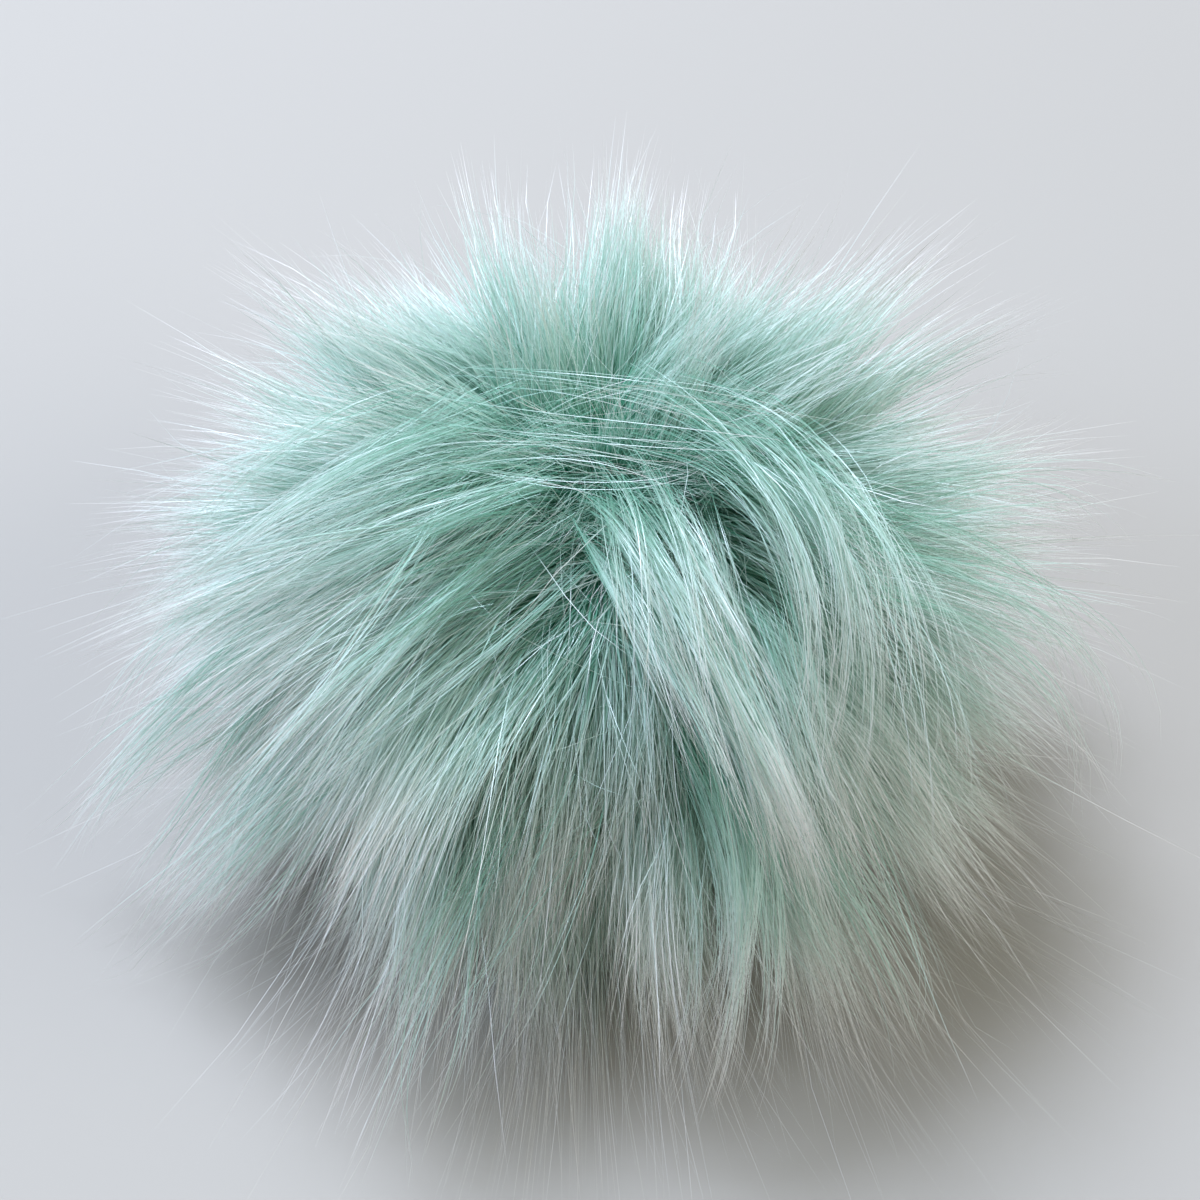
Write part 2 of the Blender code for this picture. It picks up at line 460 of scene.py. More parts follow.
WISPS = {
    "over the crown": Wisp((168, 66, 0.98), (264, 79, 1.26), (346, 54, 1.12), 9, 4, 0.11, 0.15, 0.96),
    "over the crown, short": Wisp((196, 66, 0.98), (260, 77, 1.20), (326, 62, 1.08), 6, 3, 0.12, 0.15, 0.94),
    "left sweep": Wisp((206, 72, 0.90), (208, 54, 1.27), (193, 8, 1.32), 40, 16, 0.12, 0.17),
    "left sweep, lower": Wisp((240, 62, 0.88), (233, 42, 1.24), (222, -2, 1.42), 24, 13, 0.10, 0.13),
    "cascade, from the hollow": Wisp((268, 67, 0.80), (281, 56, 1.26), (288, 22, 1.24), 14, 13, 0.05, 0.10),
    "cascade": Wisp((294, 76, 0.84), (288, 60, 1.36), (288, 27, 1.22), 20, 13, 0.09, 0.12),
    "cascade, end": Wisp((288, 50, 0.86), (291, 38, 1.34), (294, 8, 1.30), 14, 16, 0.08, 0.08, 0.98),
    "right arch": Wisp((2, 74, 0.90), (326, 54, 1.56), (300, 18, 1.22), 26, 13, 0.10, 0.09),
    "right arch, outer": Wisp((358, 58, 0.92), (328, 46, 1.62), (308, 10, 1.32), 8, 8, 0.12, 0.14),
    "small lock": Wisp((302, 46, 0.90), (294, 34, 1.30), (298, 2, 1.30), 12, 21, 0.08, 0.07, 0.98),
    "pale clump": Wisp((294, 26, 0.90), (290, 6, 1.38), (282, -27, 1.64), 11, 23, 0.09, 0.07, 0.98),
    "right fly-away": Wisp((330, 50, 0.90), (344, 26, 1.60), (351, -27, 1.76), 16, 9, 0.08, 0.08),
    "right fly-away, upper": Wisp((350, 40, 0.90), (356, 30, 1.40), (6, 2, 1.62), 12, 5, 0.08, 0.12),
    "left fly-away": Wisp((186, 30, 0.90), (188, 10, 1.30), (188, -26, 1.76), 14, 6, 0.09, 0.10),
    "left rim fly-away": Wisp((200, 14, 0.90), (200, -2, 1.40), (198, -24, 1.86), 18, 8, 0.10, 0.08),
    "left floor fly-away": Wisp((216, 8, 0.90), (216, -10, 1.36), (213, -28, 1.84), 20, 8, 0.11, 0.12),
    "front fly-away": Wisp((256, 14, 0.90), (250, -8, 1.34), (247, -28, 1.80), 26, 5, 0.12, 0.13),
    "front right fly-away": Wisp((300, 10, 0.90), (304, -8, 1.34), (308, -28, 1.80), 22, 5, 0.12, 0.14),
}


class Sector(Enum):
    """The pieces that the pile is made in, and the azimuth at the middle of each, in degrees."""

    RIGHT = 0.0
    BACK_RIGHT = 45.0
    BACK = 90.0
    BACK_LEFT = 135.0
    LEFT = 180.0
    FRONT_LEFT = 225.0
    FRONT = 270.0
    FRONT_RIGHT = 315.0

    @property
    def piece(self) -> str:
        """The name of this sector's piece."""
        return f"pile_{self.name.lower()}"


@dataclass(frozen=True)
class Ribbons:
    """Hairs ready to be meshed: their centre points, widths, the way each ribbon faces, and tones."""

    points: Array
    widths: Array
    facing: Array
    along: Array
    tone: Array

    def rows(self, chosen: Rows) -> "Ribbons":
        """The ribbons of the chosen rows."""
        return Ribbons(*(getattr(self, part.name)[chosen] for part in fields(self)))

    def mesh(self, name: str) -> bpy.types.Mesh:
        """One mesh of all the ribbons.

        Each hair has two vertices at every point, half its width to each side of the centre along
        tangent x facing, and a single one at its tip. The map has a hair's tone across and its share of the
        length up.

        Args:
            name: The mesh's name.

        Returns:
            The mesh, with its map.
        """
        hairs, stations = self.points.shape[:2]
        tangents = unit(np.gradient(self.points, axis=1))
        across = unit(np.cross(tangents, self.facing)) * (self.widths / 2)[..., None]
        left, right = self.points - across, self.points + across
        pairs = np.stack([left[:, :-1], right[:, :-1]], axis=2).reshape(hairs, -1, 3)
        vertices = np.concatenate([pairs, self.points[:, -1:]], axis=1)
        each = vertices.shape[1]
        low = 2 * np.arange(stations - 2)
        quads = np.stack([low, low + 1, low + 3, low + 2], axis=1).reshape(-1)
        corners = np.concatenate([quads, [each - 3, each - 2, each - 1]])
        loops = (corners[None] + each * np.arange(hairs)[:, None]).reshape(-1)
        starts = np.concatenate([4 * np.arange(stations - 2), [4 * (stations - 2)]])
        starts = (starts[None] + len(corners) * np.arange(hairs)[:, None]).reshape(-1)

        mesh = bpy.data.meshes.new(name)
        mesh.vertices.add(hairs * each)
        mesh.vertices.foreach_set("co", vertices.reshape(-1).astype(np.float32))
        mesh.loops.add(len(loops))
        mesh.loops.foreach_set("vertex_index", loops.astype(np.int32))
        mesh.polygons.add(len(starts))
        mesh.polygons.foreach_set("loop_start", starts.astype(np.int32))
        mesh.update(calc_edges=True)

        side = np.where(corners == each - 1, 0.0, np.where(corners % 2 == 0, -1.0, 1.0))
        station = np.where(corners == each - 1, stations - 1, corners // 2)
        u = self.tone[:, None] + MAP_WIDTH / 2 * side[None]
        v = MAP_EDGE + (1.0 - 2.0 * MAP_EDGE) * self.along[:, station]
        layer = mesh.uv_layers.new(name=UV_NAME)
        layer.data.foreach_set("uv", np.stack([u, v], axis=2).reshape(-1).astype(np.float32))
        mesh.shade_smooth()
        return mesh


@dataclass
class Pile:
    """All the hairs of the pom pom."""

    ball: Ball
    comb: Comb = field(default_factory=Comb)
    gathers: tuple[Gather, ...] = tuple(GATHERS.values())
    seed: int = 7
    shaken: Range = (0.3, 0.5)  # how unevenly the bundles and the hairs stand on the ball
    lengths: Range = (1.2, 1.6)  # beta shares of the hairs' lengths and tones, and of those that come loose
    tones: Range = (1.6, 1.6)
    loose: Range = (1.0, 3.6)
    held: Range = (1.06, 0.26)  # how far the closest and the loosest hair close on their bundles
    tone_limits: Range = (0.02, 0.98)
    over_rise: Range = (0.1, 0.5)  # the shares of the course over which a guard hair rises over the others
    wisp_share: float = 0.6  # of its wisp's course, that the shortest loose hair runs
    roll: float = 0.9  # how far a ribbon may turn about its own length, in radians
    thickness: Range = (0.75, 1.3)  # of the thinnest and the thickest hairs of a kind
    root_width: float = 0.62  # as shares of the width at a hair's thickest
    tip_width: float = 0.45
    widens: Range = (0.0, 0.25)  # the shares of its length over which a hair widens and narrows
    narrows: Range = (0.6, 1.0)
    slow_wave: float = 2.2  # radians along the course
    quick_wave: float = 7.0
    quick_share: float = 0.35
    wave_power: float = 1.5
    lowest: float = 0.0006  # height of a pressed hair over the floor
    bed: float = 0.0045  # the thickness of the layer that the floor holds up
    slide: float = 0.75  # how far a pressed hair slides outwards, for its depth
    press: float = 0.008  # the depth over which the bed is pressed flat
    under: float = -52.0  # degrees, below which only a share of the hairs grow
    under_share: float = 0.35
    widest: Range = (0.092, 0.085)  # how far out a hair may run along X and Y, in metres
    coats: tuple[Coat, ...] = tuple(COATS.values())
    wisps: tuple[Wisp, ...] = tuple(WISPS.values())
    wisp_segments: int = 10
    wisp_width: float = 0.00008
    wisp_frizz: float = 0.0009
    wisp_root: float = 0.12  # where a loose wisp's roots are on the colour map
    wisp_paling: float = 1.4  # the power of its length by which it pales
    wisp_tone: Range = (0.45, 0.88)
    together: float = 0.6  # how much of a strand's shift is the same all along it
    apart: float = 0.8  # how much of it differs from place to place
    strand_spread: float = 0.22

    def build(self, material: bpy.types.Material) -> list[bpy.types.Object]:
        """Makes the pile's pieces.

        Args:
            material: The hairs' finish.

        Returns:
            One object for each sector.
        """
        rng = np.random.default_rng(self.seed)
        bundles = [
            self.comb.courses(spread_over_ball(each.count, rng, self.shaken[0]), rng, each.stray, each.uneven)
            for each in self.gathers
        ]
        groups = [self.hairs(coat, bundles, rng) for coat in self.coats]
        groups.append(self.loose_wisps(rng))
        pieces = []
        for sector in Sector:
            parts = [group.rows(self.in_sector(group, sector)) for group in groups]
            meshes = [part.mesh(f"{sector.piece}_{at}") for at, part in enumerate(parts) if len(part.tone)]
            mesh = joined(meshes, sector.piece)
            mesh.materials.append(material)
            pieces.append(add_piece(sector.piece, mesh))
        return pieces

    def in_sector(self, group: Ribbons, sector: Sector) -> Rows:
        """The rows of the hairs whose roots lie in a sector."""
        from_middle = group.points[:, 0] - self.ball.middle
        azimuth = np.degrees(np.arctan2(from_middle[:, 1], from_middle[:, 0]))
        gap = (azimuth - sector.value + 180.0) % 360.0 - 180.0
        half = 180.0 / len(Sector)
        return np.flatnonzero((gap >= -half) & (gap < half))

    def roots(self, coat: Coat, rng: np.random.Generator) -> Array:
        """Where a coat's hairs grow."""
        spread = spread_over_ball(coat.count, rng, self.shaken[1])
        standing = self.comb.standing(spread)
        rise = np.degrees(np.arcsin(np.clip(spread[:, 2], -1.0, 1.0)))
        kept = (rise > self.under) | (rng.random(coat.count) < self.under_share)
        return spread[kept & (standing >= coat.grows[0]) & (standing < coat.grows[1])]

    def hairs(self, coat: Coat, bundles: list[Courses], rng: np.random.Generator) -> Ribbons:
        """The hairs of one coat.

        A hair keeps its own course at its root. On its way to the tip it closes on its wisp's course, the
        wisp closes on its lock's, and the lock closes on its hank's.

        Args:
            coat: The kind of hair.
            bundles: The courses of the hanks, the locks and the wisps.
            rng: Where the unevenness comes from.

        Returns:
            The coat's ribbons.
        """
        own = self.comb.courses(self.roots(coat, rng), rng, coat.stray, coat.uneven)
        count = len(own.root)
        share = np.linspace(0.0, 1.0, coat.segments + 1)
        shortest, longest = coat.length
        along = share[None] * (shortest + (longest - shortest) * rng.beta(*self.lengths, size=(count, 1)))
        closest, loosest = self.held
        held = closest - (closest - loosest) * rng.beta(*self.loose, size=(count, 1))
        member, inner = np.arange(count), own
        paths = [own.points(self.ball, along)]  # its wisp's, its lock's and its hank's go before it
        shade = np.zeros(count)
        for bundle, gather in zip(reversed(bundles), reversed(self.gathers)):
            member = nearest(inner.root, bundle.root)[member]
            paths.insert(0, bundle.rows(member).points(self.ball, along))
            shade += gather.shade * rng.normal(size=len(bundle.root))[member]
            inner = bundle
        points = paths[0]
        for outer, path, gather, drawn in zip(paths, paths[1:], self.gathers, coat.drawn_in):
            closing = (drawn * held * smooth(gather.starts, gather.ends, along))[..., None]
            points = points + (path - outer) * (1.0 - closing)
        points = points + self.waves(coat.frizz, along, rng)
        points = points + coat.over * smooth(*self.over_rise, along)[..., None] * (points - self.ball.middle)
        tone = coat.tone[0] + (coat.tone[1] - coat.tone[0]) * rng.beta(*self.tones, size=count)
        tone = np.clip(tone + shade, *self.tone_limits)
        return self.ribbons(points, share, along, coat.width, tone, rng)

    def loose_wisps(self, rng: np.random.Generator) -> Ribbons:
        """The wisps that lie loose over the pile.

        Each hair is a quadratic Bezier curve in the ball's own space, from root by bend to tip. A strand is
        shifted from its wisp by the wisp's spreads, partly the same all along it, so that strands lie side by
        side, and its hairs are shifted from it by strand_spread of them. A hair pales from root to tip by a
        power of its length.

        Args:
            rng: Where the unevenness comes from.

        Returns:
            Their ribbons.
        """
        share = np.linspace(0.0, 1.0, self.wisp_segments + 1)
        made, place = [], []
        for wisp in self.wisps:
            ends = [way(*spot[:2]) * spot[2] for spot in (wisp.root, wisp.bend, wisp.tip)]
            count = wisp.strands * wisp.hairs
            strand = self.together * rng.normal(size=(wisp.strands, 1, 3))
            strand = strand + self.apart * rng.normal(size=(wisp.strands, 3, 3))
            shift = np.repeat(strand, wisp.hairs, axis=0)
            shift = shift + self.strand_spread * rng.normal(size=(count, 3, 3))
            middle_spread = 0.5 * (wisp.root_spread + wisp.tip_spread)
            shift *= np.array([wisp.root_spread, middle_spread, wisp.tip_spread])[:, None]
            root, bend, tip = (ends[at] + shift[:, at, None] for at in range(3))
            t = (share[None] * rng.uniform(self.wisp_share, 1.0, size=(count, 1)))[..., None]
            made.append((1 - t) ** 2 * root + 2 * t * (1 - t) * bend + t**2 * tip)
            paling = self.wisp_root + (wisp.pale - self.wisp_root) * share**self.wisp_paling
            place.append(np.repeat(paling[None], count, axis=0))
        points = self.ball.middle + self.ball.half * np.concatenate(made)
        points += self.waves(self.wisp_frizz, np.repeat(share[None], len(points), axis=0), rng)
        tone = rng.uniform(*self.wisp_tone, size=len(points))
        return self.ribbons(points, share, np.concatenate(place), self.wisp_width, tone, rng)

    def ribbons(
        self,
        points: Array,
        share: Array,
        along: Array,
        width: float,
        tone: Array,
        rng: np.random.Generator,
    ) -> Ribbons:
        """Ribbons on these centre points.

        A ribbon faces outwards, rolled a little about its own length. It widens from root_width to its full
        width, and narrows to tip_width, by smooth steps.

        Args:
            points: Hairs by stations by 3.
            share: Each station's share of the hair's own length.
            along: Each hair's stations as shares of the longest hair's length, which colour it.
            width: The width of a hair at its thickest.
            tone: Each hair's tone.
            rng: Where each hair's own width and roll come from.

        Returns:
            The ribbons, over the floor.
        """
        count = len(points)
        points = self.kept_in(self.on_floor(points, rng))
        outward = unit(points - self.ball.middle)
        roll = rng.uniform(-self.roll, self.roll, size=(count, 1, 1))
        tangents = unit(np.gradient(points, axis=1))
        facing = np.cos(roll) * outward + np.sin(roll) * np.cross(tangents, outward)
        taper = self.root_width + (1.0 - self.root_width) * smooth(*self.widens, share)
        taper -= (1.0 - self.tip_width) * smooth(*self.narrows, share)
        widths = width * rng.uniform(*self.thickness, size=(count, 1)) * taper[None]
        return Ribbons(points, widths, facing, np.clip(along, 0.0, 1.0), tone)

    def waves(self, size: float, along: Array, rng: np.random.Generator) -> Array:
        """Loose waves that grow towards the tip: two sines a hair, in its own random directions."""
        shape = (len(along), 1, 3)
        slow = np.sin(self.slow_wave * along[..., None] + rng.uniform(0, 2 * np.pi, size=shape))
        quick = np.sin(self.quick_wave * along[..., None] + rng.uniform(0, 2 * np.pi, size=shape))
        aim = rng.normal(size=shape)
        shift = aim * slow + self.quick_share * aim[..., ::-1] * quick
        return size * (along**self.wave_power)[..., None] * shift

    def on_floor(self, points: Array, rng: np.random.Generator) -> Array:
        """Points held up by the floor, in a thin bed.

        Args:
            points: Hairs by stations by 3.
            rng: Where each hair's own height in the bed comes from.

        Returns:
            The points. Those under the top of the bed are pressed into it, and slide outwards by a share of
            the depth that they lose.
        """
        top = self.lowest + self.bed * rng.uniform(0.1, 1.0, size=(len(points), 1))
        height = points[..., 2]
        depth = np.maximum(top - height, 0.0)
        flat = points[..., :2] - self.ball.middle[:2]
        flat = flat / np.maximum(np.linalg.norm(flat, axis=-1, keepdims=True), 1e-6)
        points = points.copy()
        points[..., :2] += self.slide * depth[..., None] * flat
        pressed = self.lowest + (top - self.lowest) * np.exp(-depth / self.press)
        points[..., 2] = np.where(depth > 0, pressed, height)
        return points


    def kept_in(self, points: Array) -> Array:
        """Hairs drawn in towards their roots where they would run out too far.

        How far out a point is, is the larger of its |x| and |y|, each divided by the widest it may be. A hair
        whose farthest point is at m past 1, with its root at r, is drawn in to (1 - r) / (m - r) of its size.

        Args:
            points: Hairs by stations by 3.

        Returns:
            The points, none of them farther out than 1.
        """
        out = np.abs(points[..., :2] / np.array(self.widest)).max(axis=-1)
        root, farthest = out[:, 0], out.max(axis=1)
        size = np.where(farthest > 1.0, (1.0 - root) / np.maximum(farthest - root, 1e-9), 1.0)
        start = points[:, :1]
        return start + (points - start) * size[:, None, None]


def joined(meshes: list[bpy.types.Mesh], name: str) -> bpy.types.Mesh:
    """One mesh of several that carry the same map."""
    first = bpy.data.objects.new(name, meshes[0])
    others = [bpy.data.objects.new(mesh.name, mesh) for mesh in meshes[1:]]
    for made in (first, *others):
        bpy.context.scene.collection.objects.link(made)
    with bpy.context.temp_override(
        active_object=first, object=first, selected_editable_objects=[first, *others]
    ):
        bpy.ops.object.join()
    mesh = first.data
    bpy.data.objects.remove(first)
    return mesh


def add_piece(name: str, mesh: bpy.types.Mesh) -> bpy.types.Object:
    """An object at the origin that shows this mesh."""
    made = bpy.data.objects.new(name, mesh)
    bpy.context.scene.collection.objects.link(made)
    return made


# --- The skin that the pile grows from ---


@dataclass
class Skin:
    """The gathered backing under the pile, a puckered ball that only shows where the pile parts."""

    ball: Ball
    radius: float = 0.65
    rings: int = 48
    spokes: int = 96
    gathers: int = 24
    gather_depth: float = 0.02

    def build(self, material: bpy.types.Material) -> bpy.types.Object:
        """Makes the skin's piece.

        The surface is a grid of azimuth and elevation at the skin's radius, with gathers that deepen
        towards its underside: radius * (1 + depth * sin(gathers * azimuth)).

        Args:
            material: Its finish.

        Returns:
            The skin's object.
        """
        turn = np.linspace(0.0, 2 * np.pi, self.spokes, endpoint=False)
        rise = np.linspace(-np.pi / 2, np.pi / 2, self.rings + 1)[1:-1]
        turns, rises = np.meshgrid(turn, rise)
        direction = np.stack(
            [np.cos(rises) * np.cos(turns), np.cos(rises) * np.sin(turns), np.sin(rises)], axis=-1
        )
        depth = self.gather_depth * smooth(0.2, 1.0, -direction[..., 2])
        radii = self.radius * (1.0 + depth * np.sin(self.gathers * turns))
        body = self.ball.place(direction, radii).reshape(-1, 3)
        poles = self.ball.place(np.array([[0, 0, -1.0], [0, 0, 1.0]]), np.full(2, self.radius))
        rows, spokes = len(rise), self.spokes
        at = np.arange(spokes)
        around = (at + 1) % spokes
        starts = spokes * np.arange(rows - 1)[:, None]
        low, after = starts + at, starts + around
        quads = np.stack([low, after, after + spokes, low + spokes], axis=-1).reshape(-1, 4)
        last = (rows - 1) * spokes
        under = np.stack([np.full(spokes, rows * spokes), around, at], axis=1)
        over = np.stack([np.full(spokes, rows * spokes + 1), last + at, last + around], axis=1)
        mesh = bpy.data.meshes.new("skin")
        mesh.from_pydata(
            np.concatenate([body, poles]).tolist(), [], quads.tolist() + under.tolist() + over.tolist()
        )
        mesh.shade_smooth()
        mesh.materials.append(material)
        return add_piece("skin", mesh)


# --- Finishes ---


def fresh_material(name: str) -> tuple[bpy.types.Material, bpy.types.ShaderNode]:
    """A new material of nodes, and its Principled shader."""
    made = bpy.data.materials.new(name)
    made.use_nodes = True
    return made, made.node_tree.nodes["Principled BSDF"]


@dataclass(frozen=True)
class PileFinish:
    """Mint acrylic hair: deep at the root, pale at the tip, each hair a little lighter or darker. The deep root
    is partly the fibre's dye and partly painted shade of the deep pile.
    """

    # root: partly the dye, partly painted shade that darkens the pile's depths and the gaps between locks
    root: Colour = (0.14, 0.44, 0.29)
    middle: Colour = (0.49, 0.69, 0.59)
    tip: Colour = (0.76, 0.74, 0.69)
    roughness: float = 0.28
    roughness_spread: float = 0.16
    value_spread: float = 0.36
    saturation: float = 0.95
    saturation_spread: float = -0.9  # the darker hairs are the greener ones
    # middle_rise keeps the lower part of each hair in the root's colour, with its painted shade
    middle_rise: Range = (0.08, 0.54)  # the shares of the length over which root turns to middle
    tip_rise: Range = (0.46, 0.92)  # and middle to tip
    specular: float = 0.8
    glow: float = 0.30  # the share of light that passes through a hair

    COLOURS = ("Root", "Middle", "Tip")
    VALUES = ("Value Spread", "Saturation Spread", "Roughness", "Roughness Spread")

    def tone_group(self) -> bpy.types.NodeTree:
        """The node group that turns a place on the hair into its colour and roughness.

        Returns:
            A group with the input Place, its X a hair's tone and its Y the share of its length, and inputs
            for COLOURS and VALUES. Its outputs are Color and Roughness.
        """
        tree = bpy.data.node_groups.new("pile_tone", "ShaderNodeTree")
        sockets = tree.interface
        sockets.new_socket("Place", in_out="INPUT", socket_type="NodeSocketVector")
        for name in self.COLOURS:
            sockets.new_socket(name, in_out="INPUT", socket_type="NodeSocketColor")
        for name in self.VALUES:
            sockets.new_socket(name, in_out="INPUT", socket_type="NodeSocketFloat")
        sockets.new_socket("Color", in_out="OUTPUT", socket_type="NodeSocketColor")
        sockets.new_socket("Roughness", in_out="OUTPUT", socket_type="NodeSocketFloat")
        nodes, links = tree.nodes, tree.links
        given, put = nodes.new("NodeGroupInput"), nodes.new("NodeGroupOutput")
        place = nodes.new("ShaderNodeSeparateXYZ")
        links.new(given.outputs["Place"], place.inputs[0])

        def rising(between: Range) -> bpy.types.NodeSocket:
            """A smooth rise from 0 to 1 between two shares of the hair's length."""
            node = nodes.new("ShaderNodeMapRange")
            node.interpolation_type = "SMOOTHSTEP"
            node.inputs["From Min"].default_value, node.inputs["From Max"].default_value = between
            links.new(place.outputs["Y"], node.inputs["Value"])
            return node.outputs["Result"]

        def mixed(
            share: bpy.types.NodeSocket, first: bpy.types.NodeSocket, second: bpy.types.NodeSocket
        ) -> bpy.types.NodeSocket:
            """Two colours mixed by a share."""
            node = nodes.new("ShaderNodeMix")
            node.data_type = "RGBA"
            links.new(share, node.inputs["Factor"])
            links.new(first, node.inputs["A"])
            links.new(second, node.inputs["B"])
            return node.outputs["Result"]

        lower = mixed(rising(self.middle_rise), given.outputs["Root"], given.outputs["Middle"])
        colour = mixed(rising(self.tip_rise), lower, given.outputs["Tip"])
        centred = nodes.new("ShaderNodeMath")
        centred.operation = "SUBTRACT"
        centred.inputs[1].default_value = 0.5
        links.new(place.outputs["X"], centred.inputs[0])

        def about(base: float | bpy.types.NodeSocket, spread: bpy.types.NodeSocket) -> bpy.types.NodeSocket:
            """A value that differs from its base by spread times the hair's centred tone."""
            node = nodes.new("ShaderNodeMath")
            node.operation = "MULTIPLY_ADD"
            links.new(centred.outputs[0], node.inputs[0])
            links.new(spread, node.inputs[1])
            if isinstance(base, float):
                node.inputs[2].default_value = base
            else:
                links.new(base, node.inputs[2])
            return node.outputs[0]

        shade = nodes.new("ShaderNodeHueSaturation")
        links.new(about(1.0, given.outputs["Value Spread"]), shade.inputs["Value"])
        links.new(about(self.saturation, given.outputs["Saturation Spread"]), shade.inputs["Saturation"])
        links.new(colour, shade.inputs["Color"])
        links.new(shade.outputs["Color"], put.inputs["Color"])
        links.new(
            about(given.outputs["Roughness"], given.outputs["Roughness Spread"]), put.inputs["Roughness"]
        )
        return tree

    def material(self) -> bpy.types.Material:
        """The hairs' material: a Principled shader with a share of light passing through the hair."""
        made, shader = fresh_material("mint_pile")
        nodes, links = made.node_tree.nodes, made.node_tree.links
        shader.distribution = "GGX"
        uv = nodes.new("ShaderNodeUVMap")
        uv.uv_map = UV_NAME
        tone = nodes.new("ShaderNodeGroup")
        tone.node_tree = self.tone_group()
        links.new(uv.outputs["UV"], tone.inputs["Place"])
        for name in self.COLOURS:
            tone.inputs[name].default_value = (*getattr(self, name.lower()), 1.0)
        for name in self.VALUES:
            tone.inputs[name].default_value = getattr(self, name.lower().replace(" ", "_"))
        links.new(tone.outputs["Color"], shader.inputs["Base Color"])
        links.new(tone.outputs["Roughness"], shader.inputs["Roughness"])
        shader.inputs["Specular IOR Level"].default_value = self.specular
        through = nodes.new("ShaderNodeBsdfTranslucent")
        links.new(tone.outputs["Color"], through.inputs["Color"])
        mix = nodes.new("ShaderNodeMixShader")
        mix.inputs["Fac"].default_value = self.glow
        links.new(shader.outputs["BSDF"], mix.inputs[1])
        links.new(through.outputs["BSDF"], mix.inputs[2])
        links.new(mix.outputs["Shader"], nodes["Material Output"].inputs["Surface"])
        return made


@dataclass(frozen=True)
class SkinFinish:
    """The knitted backing, mint from the dye, with the fine courses of its knit and painted shade in their
    hollows.
    """

    colour: Colour = (0.10, 0.34, 0.24)
    # Painted shade: the colour in the knit's hollows, as a share of the knit's own colour.
    furrow_shade: float = 0.5  # the colour between the courses, as a share of theirs
    knit: float = 900.0  # courses over a metre, about
    relief: float = 0.0004
    roughness: float = 0.9

    def material(self) -> bpy.types.Material:
        """The backing's material, with its knit in bump and painted shade where the bump is low."""
        made, shader = fresh_material("backing_knit")
        nodes, links = made.node_tree.nodes, made.node_tree.links
        place = nodes.new("ShaderNodeTexCoord")
        noise = nodes.new("ShaderNodeTexNoise")
        noise.inputs["Scale"].default_value = self.knit
        links.new(place.outputs["Object"], noise.inputs["Vector"])
        # Painted shade: the same noise that lowers the bump darkens the colour there.
        ramp = nodes.new("ShaderNodeValToRGB")
        ramp.color_ramp.elements[0].color = (*(self.furrow_shade * part for part in self.colour), 1.0)
        ramp.color_ramp.elements[1].color = (*self.colour, 1.0)
        links.new(noise.outputs["Fac"], ramp.inputs["Fac"])
        links.new(ramp.outputs["Color"], shader.inputs["Base Color"])
        bump = nodes.new("ShaderNodeBump")
        bump.inputs["Distance"].default_value = self.relief
        links.new(noise.outputs["Fac"], bump.inputs["Height"])
        links.new(bump.outputs["Normal"], shader.inputs["Normal"])
        shader.inputs["Roughness"].default_value = self.roughness
        return made


@dataclass(frozen=True)
class FloorFinish:
    """A plain pale floor, matt."""

    colour: Colour = (0.350, 0.335, 0.295)
    roughness: float = 0.8

    def material(self) -> bpy.types.Material:
        """The floor's material."""
        made, shader = fresh_material("floor")
        shader.inputs["Base Color"].default_value = (*self.colour, 1.0)
        shader.inputs["Roughness"].default_value = self.roughness
        return made


# --- Studio ---


class Lamp(NamedTuple):
    """A soft square light, aimed at the pom pom. Angles are in degrees and sizes in metres."""

    azimuth: float
    elevation: float
    distance: float
    size: float
    watts: float
    colour: Colour


LAMPS = {
    "window": Lamp(118, 58, 1.65, 0.66, 47.0, (0.72, 0.79, 1.0)),
    "left sky": Lamp(184, 34, 1.80, 0.90, 23.0, (0.60, 0.73, 1.0)),
    "right fill": Lamp(350, 30, 2.70, 1.80, 44.0, (0.94, 0.97, 1.0)),
}

# Bounces of light in the pile.
BOUNCES = {"max": 5, "diffuse": 3, "glossy": 2, "transmission": 4}


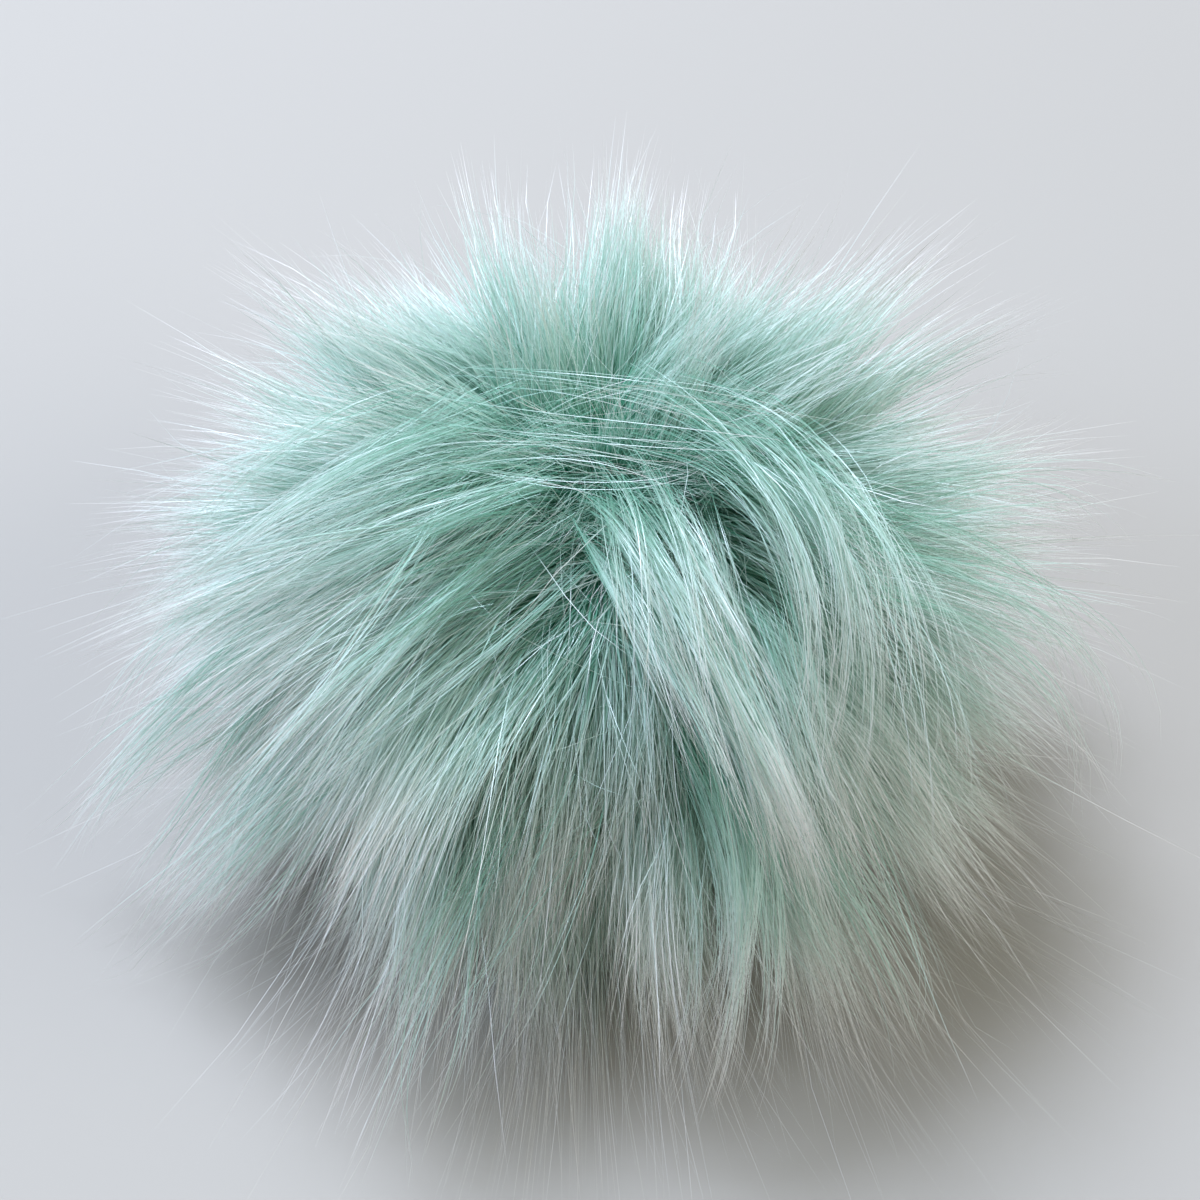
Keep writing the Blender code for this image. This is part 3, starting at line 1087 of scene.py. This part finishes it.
@dataclass(frozen=True)
class Studio:
    """Floor, lights and camera."""

    camera_azimuth: float = 270.0
    camera_elevation: float = 52.0
    camera_distance: float = 0.33
    nearest: float = 0.01  # to the camera, that anything shows
    view_width: float = 0.178  # what the view takes in, at the aim
    aim: tuple[float, float, float] = (0.0, -0.0017, 0.036)
    sensor: float = 36.0
    floor_size: float = 16.0
    sky: Colour = (1.0, 0.93, 0.76)
    sky_strength: float = 0.31
    backdrop: Colour = (0.56, 0.58, 0.60)  # what the camera sees past the floor

    def build(self) -> None:
        """Makes the floor, the lights, the sky and the camera."""
        scene = bpy.context.scene
        mesh = bpy.data.meshes.new("floor")
        half = self.floor_size / 2
        corners = [(-half, -half, 0.0), (half, -half, 0.0), (half, half, 0.0), (-half, half, 0.0)]
        mesh.from_pydata(corners, [], [(0, 1, 2, 3)])
        mesh.materials.append(FloorFinish().material())
        add_piece("floor", mesh)
        for name, lamp in LAMPS.items():
            self.light(name, lamp)
        scene.world = self.world()
        scene.view_settings.view_transform = "Standard"
        scene.view_settings.look = "None"
        for name, count in BOUNCES.items():
            setattr(scene.cycles, f"{name}_bounces", count)
        camera = bpy.data.cameras.new("camera")
        camera.sensor_width = self.sensor
        camera.lens = self.sensor * self.camera_distance / self.view_width
        camera.clip_start = self.nearest
        made = bpy.data.objects.new("camera", camera)
        scene.collection.objects.link(made)
        self.aimed(made, self.camera_azimuth, self.camera_elevation, self.camera_distance)
        scene.camera = made

    def world(self) -> bpy.types.World:
        """The world: a dim warm sky that lights the scene, and a plain pale backdrop past the floor."""
        made = bpy.data.worlds.new("sky")
        made.use_nodes = True
        nodes, links = made.node_tree.nodes, made.node_tree.links
        sky = nodes["Background"]
        sky.inputs["Color"].default_value = (*self.sky, 1.0)
        sky.inputs["Strength"].default_value = self.sky_strength
        backdrop = nodes.new("ShaderNodeBackground")
        backdrop.inputs["Color"].default_value = (*self.backdrop, 1.0)
        path, mix = nodes.new("ShaderNodeLightPath"), nodes.new("ShaderNodeMixShader")
        links.new(path.outputs["Is Camera Ray"], mix.inputs["Fac"])
        links.new(sky.outputs["Background"], mix.inputs[1])
        links.new(backdrop.outputs["Background"], mix.inputs[2])
        links.new(mix.outputs["Shader"], nodes["World Output"].inputs["Surface"])
        return made

    def aimed(self, made: bpy.types.Object, azimuth: float, elevation: float, distance: float) -> None:
        """Puts an object at these angles from the aim, looking at it."""
        out = Vector(way(azimuth, elevation))
        made.location = Vector(self.aim) + distance * out
        made.rotation_euler = (-out).to_track_quat("-Z", "Y").to_euler()

    def light(self, name: str, lamp: Lamp) -> None:
        """Makes one soft light."""
        data = bpy.data.lights.new(name, "AREA")
        data.size = lamp.size
        data.energy = lamp.watts
        data.color = lamp.colour
        made = bpy.data.objects.new(name, data)
        bpy.context.scene.collection.objects.link(made)
        self.aimed(made, lamp.azimuth, lamp.elevation, lamp.distance)


def main() -> None:
    """Builds the pom pom around the frame and the studio around the pom pom."""
    logging.basicConfig(level=logging.INFO, format="%(name)s: %(message)s")
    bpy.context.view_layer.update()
    low, high = (np.array(corner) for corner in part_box(NODE))
    ball = Ball.in_box(low, high)
    Studio().build()
    skin = Skin(ball).build(SkinFinish().material())
    pieces = [skin, *Pile(ball).build(PileFinish().material())]
    for piece in pieces:
        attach(piece, BODY)
        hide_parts(NODE)
        triangles = sum(len(face.vertices) - 2 for face in piece.data.polygons)
        LOG.info("%s: %d triangles", piece.name, triangles)


if __name__ == "__main__":
    main()
